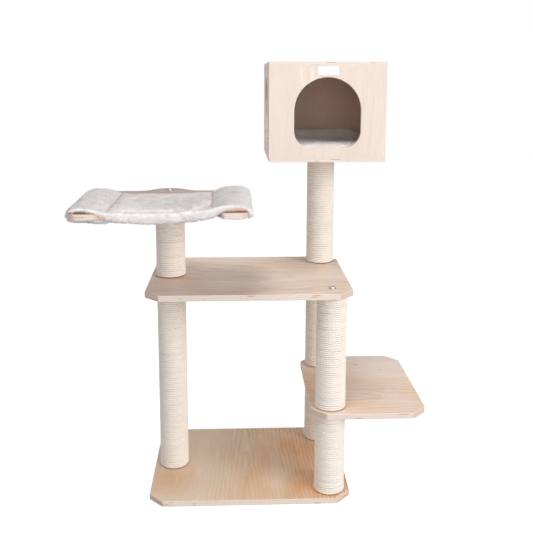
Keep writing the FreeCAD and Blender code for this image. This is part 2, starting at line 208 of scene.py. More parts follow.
def veneer(s, w, g, t, tones, seed, contrast=1.0, ring_rate=40.0, heart=(0.0, 0.03, 4.0),
           swell=2.0, waver=1.1, fade=(-9.0, -8.0), knots=(), stains=()):
    """Colour, late wood and fibre of figured softwood veneer.

    w, g and t are the places across the grain, along it and through the board. tones are
    the early wood, the late wood and the warm patches, as srgb takes them. The rings,
    ring_rate to a metre, arch round the heart: its place across the grain, its half width,
    and the rings in a metre along it. swell is how many rings the slow waviness moves them,
    and waver the quick one. The figure is faint before the first place of fade, across the
    grain, and full beyond the second. knots, and the spots of painted shade given last, are
    (across, along, radius).
    """
    early, late, warm = (srgb(*tone) for tone in tones)

    def around(spot, stretch):
        """Distance from a spot on the face, in its radii, drawn out along the grain."""
        reach = s.vector(s.math("SUBTRACT", w, spot[0]),
                         s.times(s.math("SUBTRACT", g, spot[1]), stretch), 0.0)
        length = s.node("VectorMath", operation="LENGTH")
        s.plug(reach, length.inputs[0])
        return s.math("DIVIDE", length.outputs["Value"], spot[2])

    def face_noise(across, along, offset, **settings):
        return s.noise(s.scaled((w, g, t), (across, along, 0.0), seed + offset), **settings)

    # growth rings that arch round the heart and run along the grain beside it
    slow = face_noise(5.0, 1.6, 0, detail=1.5, roughness=0.45)
    wiggle = face_noise(26, 20, 3)
    aside = s.math("SUBTRACT", w, heart[0])
    arch = s.math("SQRT", s.times(aside, aside, heart[1] ** 2))
    rings = s.times(arch, ring_rate, s.times(g, heart[2]))
    rings = s.times(slow, swell, rings)
    rings = s.times(wiggle, waver, rings)
    latewood = s.ramp(s.math("FRACT", rings),
                      [(0.0, 0.1), (0.55, 0.05), (0.82, 0.7), (0.91, 1.0), (1.0, 0.1)])

    # how strong the figure is, and where the wood is warmer
    bands = face_noise(7, 1.6, 8)
    patch = face_noise(14, 4.0, 11, detail=3)
    faded = s.math("DIVIDE", s.math("SUBTRACT", w, fade[0]), fade[1] - fade[0], clamp=True)
    strength = s.times(s.ramp(bands, [(0.38, 0.3), (0.60, 1.0)]),
                       s.times(faded, 0.85 * contrast, 0.15 * contrast))
    colour = s.mix(s.times(faded, s.ramp(patch, [(0.36, 0.15), (0.66, 0.9)])), early, warm)
    colour = s.mix(s.times(latewood, strength), colour, late)

    # fibres, and darker and paler streaks
    fibre = s.noise(s.scaled((w, g, t), (900, 18, 900), seed), detail=3, roughness=0.6)
    shade = s.ramp(fibre, [(0.25, 0.93), (0.55, 1.0), (0.8, 1.02)])
    colour = s.tinted(colour, shade)
    cloud = s.noise(s.scaled((w, g, t), (60, 7, 60), seed + 13), detail=3, roughness=0.6)
    colour = s.mix(s.times(s.ramp(cloud, [(0.5, 0.0), (0.72, 0.8)]), strength), colour, late)
    colour = s.mix(s.ramp(cloud, [(0.28, 0.35), (0.42, 0.0)]), colour, PALE_STREAK)

    # painted shade: each spot warms and darkens the wood round it
    for stain in stains:
        reach = s.times(slow, 0.7, around(stain, 0.8))
        mark = s.ramp(s.math("SUBTRACT", reach, 0.55), [(0.0, 0.6), (0.5, 0.3), (1.0, 0.0)])
        colour = s.mix(mark, colour, s.tinted(colour, WARM_SHADE))
    for knot in knots:
        ring = s.times(wiggle, 0.8, around(knot, 0.4))
        mark = s.ramp(s.math("SUBTRACT", ring, 0.4), [(0.0, 0.85), (0.45, 0.5), (1.0, 0.0)])
        colour = s.mix(mark, colour, KNOT)
    return colour, latewood, fibre


def plies(s, run, t, layer, seed):
    """Colour of a board's cut edge: its layers, every second one showing its end grain.

    run is the way round the board, t the place through it, and layer the same in plies.
    """
    odd = s.math("MODULO", s.math("FLOOR", layer), 2.0)
    glue = s.ramp(s.math("PINGPONG", layer, 0.5), [(0.0, 1.0), (0.10, 0.35), (0.2, 0.0)])
    streaks = s.noise(s.vector(s.times(run, 9), s.times(t, 900), seed), detail=3)
    dots = s.noise(s.vector(s.times(run, 700), s.times(t, 700), seed), detail=1)
    pale = s.mix(s.ramp(streaks, [(0.3, 0.0), (0.75, 1.0)]), *LONG_GRAIN)
    end_grain = s.mix(s.ramp(dots, [(0.35, 0.0), (0.7, 1.0)]), *END_GRAIN)
    edge = s.mix(odd, pale, end_grain)
    edge = s.mix(s.times(glue, 0.45), edge, GLUE)
    gaps = s.noise(s.vector(s.times(run, 16), s.math("FLOOR", layer), seed), detail=1.5)
    gap = s.times(s.ramp(gaps, [(0.58, 0.0), (0.64, 0.85)]), odd)
    return s.mix(gap, edge, PLY_GAP)


def plywood(name, grain, thick, low, tones, seed, ply=BOARD_PLY, inside=0, **figure):
    """Plywood: veneer on its two faces, and its plies along the edges.

    grain and thick are the axes that the veneer's grain and the board's thickness follow,
    and low is the board's lowest place along thick. inside is the way along thick that the
    board's inner face looks, or 0 where both faces are alike; that face is painted darker
    and browner as the shade inside the condo. figure is what else veneer takes.
    """
    s = Shader(name)
    place, looks = s.position(), s.normal()
    across = X + Y + Z - grain - thick
    g, w, t = place[grain], place[across], place[thick]
    colour, latewood, fibre = veneer(s, w, g, t, tones, seed, **figure)
    layer = s.math("DIVIDE", s.math("SUBTRACT", t, low), ply)
    edge = plies(s, s.math("ADD", g, w), t, layer, seed)

    # painted shade: the cut corners are tinted darker and browner than the straight edges
    corner = s.math("ABSOLUTE", s.times(looks[grain], looks[across]))
    corner = s.ramp(corner, [(0.15, 0.0), (0.35, 1.0)])
    edge = s.mix(corner, edge, s.tinted(edge, CUT_CORNER_SHADE))
    # painted shade: the face towards the condo's inside is tinted darker and browner
    if inside:
        inner = s.ramp(s.times(looks[thick], inside), [(0.5, 0.0), (0.8, 1.0)])
        colour = s.mix(inner, colour, s.tinted(colour, INSIDE_SHADE))

    face = s.ramp(s.math("ABSOLUTE", looks[thick]), [(0.55, 0.0), (0.85, 1.0)])
    relief = s.times(latewood, 0.35, s.times(fibre, 0.5))
    roughness = s.times(fibre, 0.16, s.times(latewood, -0.07, 0.42))
    return s.finish(
        s.mix(face, edge, colour),
        s.mix(face, (0.72, 0.72, 0.72), s.vector(roughness, roughness, roughness)),
        s.bump(relief, 0.25, 0.0004),
        Specular_IOR_Level=0.4,
    )


def sisal(name):
    """Twisted plant fibre; u of the rope's own map runs along it and v round it, in metres."""
    s = Shader(name)
    u, v, _ = s.split(s.node("UVMap", uv_map=ROPE_MAP).outputs[0])
    turn = s.math("DIVIDE", v, ROPE / 2)
    skew = s.times(u, -0.62, v)
    twist = 2 * math.pi * BUMPS_PER_LAP / LAP_LENGTH
    strand = s.math("COSINE", s.math("SUBTRACT", s.times(turn, STRANDS), s.times(u, twist)))
    fibres = s.noise(s.vector(s.times(skew, 2600), s.times(u, 260), 0.0), detail=3, roughness=0.65)
    length_tint = s.noise(s.vector(s.times(u, 9), 0.0, 5.0), detail=4, roughness=0.7)
    flecks = s.noise(s.vector(s.times(skew, 1100), s.times(u, 130), 9.0), detail=1)
    colour = s.mix(s.ramp(fibres, [(0.30, 0.0), (0.62, 1.0)]),
                   srgb(246, 233, 218), srgb(255, 252, 248))
    colour = s.mix(s.ramp(length_tint, [(0.45, 0.0), (0.75, 0.28)]), colour,
                   srgb(242, 225, 206))
    # painted shade: the grooves between the strands and the valleys between the laps are coloured
    # darker and browner
    groove_shade = s.ramp(strand, [(0.0, 0.24), (0.5, 0.0)])
    colour = s.mix(groove_shade, colour, srgb(222, 192, 160))
    valley_shade = s.ramp(s.math("DIVIDE", s.math("ABSOLUTE", turn), math.pi),
                    [(0.30, 0.0), (0.48, 0.5)])
    colour = s.mix(valley_shade, colour, srgb(218, 184, 150))
    colour = s.mix(s.ramp(flecks, [(0.68, 0.0), (0.76, 0.6)]), colour, srgb(196, 158, 124))
    normal = s.bump(fibres, 0.7, 0.0008)
    return s.finish(colour, s.times(fibres, 0.15, 0.75), normal,
                    Specular_IOR_Level=0.2, Sheen_Weight=0.3, Sheen_Roughness=0.5)


def plush(name, light, dark, seed, painted_glow=0.0):
    """Short faux fur; the last argument is painted light: an emission that brightens the pile."""
    s = Shader(name)
    place = s.position()
    tufts = s.noise(s.vector(*place), scale=230, detail=3, roughness=0.6)
    hairs = s.noise(s.vector(*place), scale=1300, detail=2, roughness=0.6)
    broad = s.noise(s.scaled(place, (24, 40, 40), seed), detail=6, roughness=0.78)
    mixed = s.times(hairs, 0.45, s.times(tufts, 0.55))
    # painted shade: tuft tips are made lighter than the roots deep in the pile
    tip_light = s.node("Attribute", attribute_name=PILE).outputs["Fac"]
    mixed = s.times(tip_light, 0.12, mixed)
    colour = s.mix(s.ramp(mixed, [(0.36, 0.0), (0.56, 1.0)]), dark, light)
    colour = s.mix(s.ramp(broad, [(0.42, 0.0), (0.60, 0.9)]), colour,
                   tuple(1.25 * b - 0.25 * a for a, b in zip(light, dark)))
    normal = s.bump(hairs, 0.5, 0.0012, s.bump(tufts, 0.45, 0.002))
    return s.finish(colour, 0.95, normal, Specular_IOR_Level=0.15, Sheen_Weight=0.6,
                    Sheen_Roughness=0.4, Emission_Color=(*light, 1), Emission_Strength=painted_glow)


def woven(name, colour, darker, painted_glow=0.0):
    """Plain-woven lining; the last argument is painted light: an emission that brightens the cloth
    where it lies in shade.
    """
    s = Shader(name)
    place = s.position()
    waves = [s.math("SINE", s.times(p, 5200)) for p in place]
    weave = s.times(s.math("ADD", waves[0], waves[2]), waves[1])
    tone = s.noise(s.vector(*place), scale=40, detail=3)
    tint = s.times(weave, 0.12, tone)
    return s.finish(s.mix(s.ramp(tint, [(0.3, 0.0), (0.7, 1.0)]), darker, colour), 0.85,
                    s.bump(weave, 0.3, 0.0003), Specular_IOR_Level=0.2, Sheen_Weight=0.2,
                    Emission_Color=(*colour, 1), Emission_Strength=painted_glow)


def zinc(name):
    """Bright zinc plating with turning marks and dull patches."""
    s = Shader(name)
    place = s.position()
    patches = s.noise(s.vector(*place), scale=900, detail=3)
    marks = s.noise(s.scaled(place, (300, 300, 6000)), detail=2)
    colour = s.mix(s.ramp(patches, [(0.4, 0.0), (0.65, 1.0)]),
                   srgb(196, 200, 206), srgb(228, 230, 233))
    return s.finish(colour, s.times(patches, 0.22, 0.16),
                    s.bump(marks, 0.12, 0.0001), Metallic=1.0)


def enamel(name):
    """White paint with a faint orange peel."""
    s = Shader(name)
    orange_peel = s.noise(s.vector(*s.position()), scale=700, detail=1)
    tone = s.mix(s.ramp(orange_peel, [(0.3, 0.0), (0.7, 1.0)]),
                 srgb(250, 250, 250), srgb(254, 254, 254))
    return s.finish(tone, s.times(orange_peel, 0.1, 0.3),
                    s.bump(orange_peel, 0.06, 0.0002), Coat_Weight=0.3)


def raw_wood(name, pale, dark, axis):
    """Bare wood, or the board of a tube, whose fibres run along the axis."""
    s = Shader(name)
    place = s.position()
    factors = [500.0, 500.0, 500.0]
    factors[axis] = 14.0
    fibre = s.noise(s.scaled(place, factors), detail=3)
    return s.finish(s.mix(s.ramp(fibre, [(0.3, 0.0), (0.7, 1.0)]), pale, dark), 0.75,
                    s.bump(fibre, 0.3, 0.0003))


def dress(piece, material):
    """Gives a piece one material."""
    piece.data.materials.clear()
    piece.data.materials.append(material)


def paint(node, material):
    """Gives a CAD node one material."""
    dress(NODES[node], material)


# ---- mesh building


def get_points(mesh):
    points = np.zeros(len(mesh.vertices) * 3, np.float32)
    mesh.vertices.foreach_get("co", points)
    return points.reshape(-1, 3)


def set_points(mesh, points):
    mesh.vertices.foreach_set("co", points.reshape(-1).astype(np.float32))
    mesh.update()


def new_mesh(name, points, corners, starts):
    """A smooth mesh from its faces' corners, one after another, and where each face starts."""
    mesh = bpy.data.meshes.new(name)
    mesh.vertices.add(len(points))
    mesh.vertices.foreach_set("co", points.reshape(-1).astype(np.float32))
    mesh.loops.add(len(corners))
    mesh.loops.foreach_set("vertex_index", corners)
    mesh.polygons.add(len(starts))
    mesh.polygons.foreach_set("loop_start", starts)
    mesh.update(calc_edges=True)
    mesh.polygons.foreach_set("use_smooth", np.ones(len(starts), bool))
    return mesh


def face_outwards(mesh, fill=False):
    """Turns every face to look out of a closed mesh, after filling its open ends if asked."""
    edited = bmesh.new()
    edited.from_mesh(mesh)
    if fill:
        bmesh.ops.holes_fill(edited, edges=[e for e in edited.edges if e.is_boundary])
    bmesh.ops.recalc_face_normals(edited, faces=edited.faces)
    edited.to_mesh(mesh)
    edited.free()


def grid_object(name, points, wrap_rows, wrap_columns, caps=False):
    """Quads over a grid of points, rows by columns by 3, closed round either way.

    caps adds one face over the first row and one over the last.
    """
    rows, columns = points.shape[:2]
    index = np.arange(rows * columns).reshape(rows, columns)
    below = np.roll(index, -1, 0) if wrap_rows else index[1:]
    here = index if wrap_rows else index[:-1]
    if wrap_columns:
        quads = np.stack([here, np.roll(here, -1, 1), np.roll(below, -1, 1), below], -1)
    else:
        quads = np.stack([here[:, :-1], here[:, 1:], below[:, 1:], below[:, :-1]], -1)
    quads = quads.reshape(-1, 4)
    ends = [index[0][::-1], index[-1]] if caps else []
    corners = np.concatenate([quads.reshape(-1), *ends]).astype(np.int32)
    sizes = [4] * len(quads) + [columns] * len(ends)
    starts = np.cumsum([0] + sizes[:-1]).astype(np.int32)
    mesh = new_mesh(name, points.reshape(-1, 3), corners, starts)
    mesh.validate()
    if caps or (wrap_rows and wrap_columns):
        face_outwards(mesh)
    made = bpy.data.objects.new(name, mesh)
    bpy.context.scene.collection.objects.link(made)
    return made


def squared(wave, power):
    """Flattens the peaks of a wave from -1 to 1, which makes a circle a squarish oval."""
    return np.sign(wave) * np.abs(wave) ** power


# ---- sisal ropes


def soft_wave(t, seed, waves=6):
    """Smooth random curve of t, about -1 to 1, the same on every run."""
    random = np.random.default_rng(seed)
    value = np.zeros_like(t)
    for k in range(waves):
        rate = random.uniform(0.15, 1.6)
        value += np.sin(rate * t + random.uniform(0, 2 * math.pi)) * random.uniform(0.3, 1)
    return value / math.sqrt(waves)


def wind_rope(post, seed):
    """One length of rope wound round a post, from its foot to its head."""
    low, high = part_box(f"{post}_sisal_rope")
    centre = (low + high) / 2
    outer = (high.x - low.x) / 2
    core = outer - ROPE / 2
    laps = (high.z - low.z - ROPE) / ROPE
    count = int(laps * LAP_STEPS)
    lap = np.linspace(0, laps, count)
    angle = 2 * math.pi * lap + math.pi / 2
    along = lap * 2 * math.pi * core

    # the last laps at the foot spread a little, and every lap wanders
    foot = np.exp(-lap / 2.4) * (2.0 + 0.9 * soft_wave(angle * 1.9, seed + 2)) * MM
    head = np.exp((lap - laps) / 1.5) * 0.5 * MM
    radius = core - 0.25 * MM + foot + head
    radius += (soft_wave(angle * 0.37, seed) * 0.22 + soft_wave(angle * 5.3, seed + 3) * 0.12) * MM
    settle = np.clip(np.minimum(lap, laps - lap), 0, 1)
    sway = soft_wave(angle * 0.21, seed + 1) * 0.3 + soft_wave(angle * 2.7, seed + 4) * 0.15
    height = low.z + ROPE / 2 + lap * ROPE + sway * MM * settle

    turns = ROPE_TURNS[None, :]
    lobes = np.cos(STRANDS * turns - (lap * BUMPS_PER_LAP * 2 * math.pi)[:, None])
    plump = 1 + 0.05 * soft_wave(angle * 3.1, seed + 5)[:, None]
    rope = ROPE / 2 * plump * (0.95 + 0.13 * lobes)
    reach = radius[:, None] + rope * np.cos(turns)
    z = height[:, None] + rope * 1.12 * np.sin(turns)
    z = np.clip(z, low.z, high.z)
    points = np.stack([
        centre.x + reach * np.cos(angle)[:, None],
        centre.y + reach * np.sin(angle)[:, None],
        z,
    ], -1)
    wound = grid_object(f"{post}_rope", points, False, True, caps=True)
    rope_map(wound, along, len(turns[0]))
    return wound


def rope_map(wound, along, sides):
    """u runs along the rope and v round it, both in metres."""
    mesh = wound.data
    corner_vertex = np.zeros(len(mesh.loops), np.int32)
    mesh.loops.foreach_get("vertex_index", corner_vertex)
    row, column = corner_vertex // sides, corner_vertex % sides
    sizes = np.zeros(len(mesh.polygons), np.int32)
    mesh.polygons.foreach_get("loop_total", sizes)
    face = np.repeat(np.arange(len(sizes)), sizes)
    last = np.zeros(len(sizes), bool)
    np.logical_or.at(last, face, column == sides - 1)
    wrapped = last[face] & (column == 0)
    v = (ROPE_TURNS[column] + wrapped * 2 * math.pi) * ROPE / 2
    layer = mesh.uv_layers.new(name=ROPE_MAP)
    layer.data.foreach_set("uv", np.stack([along[row], v], -1).reshape(-1).astype(np.float32))


def make_posts():
    rope = sisal("sisal_rope")
    tube = raw_wood("paper_tube", srgb(168, 136, 100), srgb(140, 108, 76), 2)
    plug = raw_wood("plug_wood", srgb(214, 186, 146), srgb(190, 158, 116), 2)
    posts = sorted(n[:-len("_sisal_rope")] for n in NODES if n.endswith("_sisal_rope"))
    for seed, post in enumerate(posts):
        wound = wind_rope(post, 11 * seed)
        dress(wound, rope)
        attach(wound, "frame")
        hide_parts(f"{post}_sisal_rope")
        paint(f"{post}_tube", tube)
        paint(f"{post}_end_plugs", plug)


# ---- boards and hardware


def make_boards():
    def veneered(node, grain, thick, *tones_and_seed, **figure):
        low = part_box(node)[0][thick]
        paint(node, plywood(f"{node}_veneer", grain, thick, low, *tones_and_seed, **figure))

    # painted shade: the base's warm spots stand for the shade round the posts
    veneered(
        "base_board", Y, Z,
        [(235, 212, 188), (213, 163, 118), (229, 187, 146)], 2.0,
        ring_rate=80.0, heart=(-0.010, 0.012, 3.5), swell=2.2, waver=0.9, fade=(-0.14, 0.06),
        contrast=0.9, stains=[(-0.247, -0.094, 0.085), (0.185, -0.17, 0.085),
                              (0.180, 0.070, 0.08)])
    veneered(
        "middle_platform", X, Z,
        [(230, 214, 203), (208, 175, 150), (222, 199, 180)], 17.0,
        ring_rate=24.0, heart=(-0.03, 0.04, 3.0), swell=5.0, contrast=0.7,
        knots=[(0.145, 0.092, 0.005), (0.024, 0.079, 0.006), (-0.086, 0.025, 0.006)])
    # painted shade: the step's warm spot stands for shade on its face
    veneered(
        "step_platform", X, Z,
        [(234, 218, 207), (221, 180, 143), (230, 200, 175)], 31.0,
        ring_rate=55.0, heart=(-0.11, 0.03, 5.0), swell=3.5, fade=(0.16, -0.06), contrast=0.9,
        knots=[(0.145, 0.365, 0.006), (0.097, 0.442, 0.004)], stains=[(0.02, 0.20, 0.10)])
    # painted shade: the hammock board's tones are darker than the other boards' for the shade
    # under its cover
    veneered(
        "hammock_board", X, Z,
        [(183, 169, 160), (163, 141, 127), (177, 156, 144)], 43.0,
        ring_rate=40.0, contrast=0.6, knots=[(-0.030, -0.357, 0.005)], ply=HAMMOCK_PLY)
    panel_tones = [(226, 212, 201), (216, 195, 177), (224, 206, 192)]
    # painted shade: each panel's face towards the condo's inside is tinted darker and browner
    for number, (panel, grain, thick, inside) in enumerate([
        ("condo_front_panel", Z, Y, 1), ("condo_back_panel", Z, Y, -1),
        ("condo_left_panel", Z, X, 1), ("condo_right_panel", Z, X, -1),
        ("condo_roof", Y, Z, -1), ("condo_floor", Y, Z, 1),
    ]):
        veneered(panel, grain, thick, panel_tones, 60.0 + 7 * number, ring_rate=45.0,
                 heart=(0.5, 0.03, 2.0), swell=4.0, contrast=0.4, ply=PANEL_PLY,
                 inside=inside)


def make_hardware():
    plated = zinc("zinc_steel")
    for node in NODES:
        if node.endswith(("bolt", "bolts", "washer", "washers", "studs", "inserts",
                          "staples", "pins")):
            paint(node, plated)
    paint("name_plate", enamel("white_plate"))
    paint("condo_dowels", raw_wood("dowel_beech", srgb(222, 196, 160), srgb(204, 174, 136), 2))


# ---- plush pieces


def mesh_arrays(piece):
    """Corner points, vertex normals and triangles of a mesh."""
    mesh = piece.data
    normals = np.zeros(len(mesh.vertices) * 3, np.float32)
    mesh.vertex_normals.foreach_get("vector", normals)
    mesh.calc_loop_triangles()
    triangles = np.zeros(len(mesh.loop_triangles) * 3, np.int32)
    mesh.loop_triangles.foreach_get("vertices", triangles)
    return get_points(mesh), normals.reshape(-1, 3), triangles.reshape(-1, 3)


def grow_pile(piece, count, length, width, comb, seed, bald=None):
    """Covers a piece with closed three-sided tufts, which become part of its mesh.

    comb is the way that the pile lies. bald, if given, is a function of the points and
    normals that is true where no pile grows.
    """
    random = np.random.default_rng(seed)
    points, normals, triangles = mesh_arrays(piece)
    corners = points[triangles]
    area = np.linalg.norm(np.cross(corners[:, 1] - corners[:, 0],
                                   corners[:, 2] - corners[:, 0]), axis=1)
    if bald is not None:
        middle = corners.mean(1)
        area = np.where(bald(middle, normals[triangles].mean(1)), 0, area)
    chosen = random.choice(len(area), count, p=area / area.sum())
    share = random.dirichlet((1, 1, 1), count)[:, :, None]
    root = (corners[chosen] * share).sum(1)
    up = (normals[triangles[chosen]] * share).sum(1)
    up /= np.linalg.norm(up, axis=1, keepdims=True)

    spread = random.normal(0, 0.5, (count, 3))
    lean = up + spread + np.array(comb)
    lean /= np.linalg.norm(lean, axis=1, keepdims=True)
    tall = length * random.uniform(0.6, 1.15, (count, 1))
    side = np.cross(up, random.normal(0, 1, (count, 3)))
    side /= np.linalg.norm(side, axis=1, keepdims=True)
    other = np.cross(up, side)
    wide = width * random.uniform(0.6, 1.2, (count, 1))
    foot = root - up * 0.3 * length
    tuft = [root + lean * tall]
    for k in range(3):
        turn = 2 * math.pi * k / 3
        tuft.append(foot + wide * (side * math.cos(turn) + other * math.sin(turn)))
    tuft = np.stack(tuft, 1).reshape(-1, 3)
    soft = np.repeat(up * 0.4 + lean * 0.6, 4, 0)

    first = len(points) + 4 * np.arange(count)[:, None, None]
    sides = first + np.array([[0, 1, 2], [0, 2, 3], [0, 3, 1], [1, 3, 2]])[None]
    everything = np.concatenate([triangles, sides.reshape(-1, 3)]).astype(np.int32)
    height = np.concatenate([np.zeros(len(points)), np.tile([1.0, 0, 0, 0], count)])
    piece.data = furry_mesh(piece.name, np.concatenate([points, tuft]), everything,
                            np.concatenate([normals, soft]), height, piece.data.materials)


def furry_mesh(name, points, triangles, normals, height, materials):
    """A mesh of triangles with its own normals, and each point's height in the pile."""
    mesh = new_mesh(name, points, triangles.reshape(-1),
                    np.arange(0, triangles.size, 3, dtype=np.int32))
    pile = mesh.attributes.new(PILE, "FLOAT", "POINT")
    pile.data.foreach_set("value", height.astype(np.float32))
    for material in materials:
        mesh.materials.append(material)
    mesh.normals_split_custom_set_from_vertices(normals)
    return mesh


def displace(piece, amount):
    """Moves each point along its normal by amount(points, normals), in metres."""
    points, normals, _ = mesh_arrays(piece)
    set_points(piece.data, points + normals * amount(points, normals)[:, None])


def lumps(points, size, seed):
    """Smooth noise, about -1 to 1, with lumps of the given size."""
    shift = Vector((seed * 7.3, seed * 3.1, seed * 5.7))
    return np.array([noise.noise(Vector(p) / size + shift) for p in points])


def remesh(piece, voxel):
    apply_modifier(piece, "REMESH", mode="VOXEL", voxel_size=voxel)


def apply_modifier(piece, kind, **settings):
    modifier = piece.modifiers.new("step", kind)
    for key, value in settings.items():
        setattr(modifier, key, value)
    depsgraph = bpy.context.evaluated_depsgraph_get()
    made = bpy.data.meshes.new_from_object(piece.evaluated_get(depsgraph))
    piece.modifiers.clear()
    piece.data = made
    made.polygons.foreach_set("use_smooth", np.ones(len(made.polygons), bool))
    made.update()


CLOTH_FRAMES = 20


def inflate(piece, pressure, cap, held, slack):
    """Swells a closed cloth shape, held where held(points) is true, by cap at most.

    slack is how much more cloth there is than the shape needs, as a share of its width.
    """
    before = get_points(piece.data)
    pins = piece.vertex_groups.new(name="held")
    pins.add([int(i) for i in np.nonzero(held(before))[0]], 1.0, "REPLACE")
    cloth = piece.modifiers.new("cloth", "CLOTH")
    cloth.settings.effector_weights.gravity = 0
    for key, value in {
        "quality": 6, "mass": 0.2, "tension_stiffness": 12, "compression_stiffness": 12,
        "bending_stiffness": 0.4, "use_pressure": True, "uniform_pressure_force": pressure,
        "shrink_min": -slack, "vertex_group_mass": "held",
    }.items():
        setattr(cloth.settings, key, value)
    scene = bpy.context.scene
    for frame_number in range(1, CLOTH_FRAMES + 1):
        scene.frame_set(frame_number)
    after = bpy.data.meshes.new_from_object(
        piece.evaluated_get(bpy.context.evaluated_depsgraph_get()))
    move = get_points(after) - before
    far = np.linalg.norm(move, axis=1, keepdims=True)
    move *= np.minimum(1, cap / np.maximum(far, 1e-9))
    piece.modifiers.clear()
    piece.vertex_groups.clear()
    set_points(piece.data, before + move)
    scene.frame_set(1)


# ---- hammock cover

PIVOT = Vector(JOINTS["hammock_swivel"]["pos_m"])
FORWARD = Vector(JOINTS["cover_slide"]["axis"]).normalized()
BACKWARD = -FORWARD
RIGHTWARD = BACKWARD.cross(Vector((0, 0, 1)))
BOARD_LOW, BOARD_HIGH = (corner.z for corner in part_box("hammock_board"))
BOARD_MIDDLE = (BOARD_LOW + BOARD_HIGH) / 2
SEAM = 131 * MM
COVER_FRONT = -391 * MM
COVER_BACK = -70 * MM
LINING_DEPTH = 5.5 * MM


def hammock_points(u, v, z):
    """Points u right of the hammock's bolt, v behind it and z above its board's middle."""
    u, v, z = np.broadcast_arrays(u, v, z)
    flat = np.array(PIVOT) + u[..., None] * np.array(RIGHTWARD) + v[..., None] * np.array(BACKWARD)
    flat[..., 2] = BOARD_MIDDLE + z
    return flat


def hammock_axes(points):
    """u, v and z of points, as hammock_points takes them."""
    away = points - np.array(PIVOT)
    return away @ np.array(RIGHTWARD), away @ np.array(BACKWARD), points[:, 2] - BOARD_MIDDLE


def through(places, values, at):
    """A smooth curve through a few values."""
    places, values = np.array(places, float), np.array(values, float)
    at = np.asarray(at, float)
    slopes = np.gradient(values, places)
    k = np.clip(np.searchsorted(places, at) - 1, 0, len(places) - 2)
    span = places[k + 1] - places[k]
    t = np.clip((at - places[k]) / span, 0, 1)
    return ((1 + 2 * t) * (1 - t) ** 2 * values[k] + t * (1 - t) ** 2 * span * slopes[k]
            + t * t * (3 - 2 * t) * values[k + 1] + t * t * (t - 1) * span * slopes[k + 1])


def closed_spline(control, count):
    """Points evenly spaced along a smooth closed curve through the control points."""
    control = np.array(control, float)
    n = len(control)
    t = np.linspace(0, n, 40 * n, endpoint=False)
    k = t.astype(int)
    f = (t - k)[:, None]
    a, b, c, d = (control[(k + o) % n] for o in (-1, 0, 1, 2))
    curve = 0.5 * (2 * b + (c - a) * f + (2 * a - 5 * b + 4 * c - d) * f ** 2
                   + (3 * b - a - 3 * c + d) * f ** 3)
    step = np.linalg.norm(np.diff(curve, axis=0, append=curve[:1]), axis=1)
    travelled = np.concatenate([[0], np.cumsum(step)])
    want = np.linspace(0, travelled[-1], count, endpoint=False)
    closed = np.concatenate([curve, curve[:1]])
    return np.stack([np.interp(want, travelled, closed[:, i]) for i in (0, 1)], -1)


# front and back are the outlines of a pocket's section in mm: u outwards from the middle and
# z from the board's middle, from the seam over the top and round the outer side. top_depth
# is how thick its top is at a few places across. wall_front and floor_front are how far its
# outer side and its underside stand behind the cover's front, and puff is how lumpy it is.
POCKETS = {
    "left": {
        "side": -1,
        "front": [
            (131, -5), (134, 1), (146, 8), (162, 13.5), (180, 18), (204, 19.5), (224, 15),
            (234, 7), (236, -3), (229, -11), (206, -14), (176, -14.5), (154, -16), (139, -14)],
        "back": [
            (131, -1), (135, 8), (148, 15), (166, 20), (188, 22.5), (208, 23), (226, 18),
            (236, 9), (237, -2), (230, -12), (206, -15), (176, -15), (152, -13), (137, -8)],
        "top_depth": [(131, 6.5), (150, 8), (175, 6.5), (200, 5), (236, 4.5)],
        "wall_front": 17 * MM,
        "floor_front": 5 * MM,
        "puff": 1.6 * MM,
    },
    "right": {
        "side": 1,
        "front": [
            (131, 5), (134, 12), (146, 18), (162, 23), (184, 25), (204, 23), (220, 18.5),
            (230, 11), (233, -1), (228, -9.5), (206, -13.5), (180, -13.5), (158, -11),
            (142, -3)],
        "back": [
            (131, 3), (134, 11), (146, 18), (164, 23), (186, 27), (206, 28.5), (225, 26),
            (237, 16), (239, 0), (231, -12), (206, -15), (180, -15), (156, -12), (139, -5)],
        "top_depth": [(131, 8), (150, 9.5), (184, 9.5), (205, 6.5), (236, 4.5)],
        "wall_front": 3 * MM,
        "floor_front": 32 * MM,
        "puff": 2.2 * MM,
    },
}


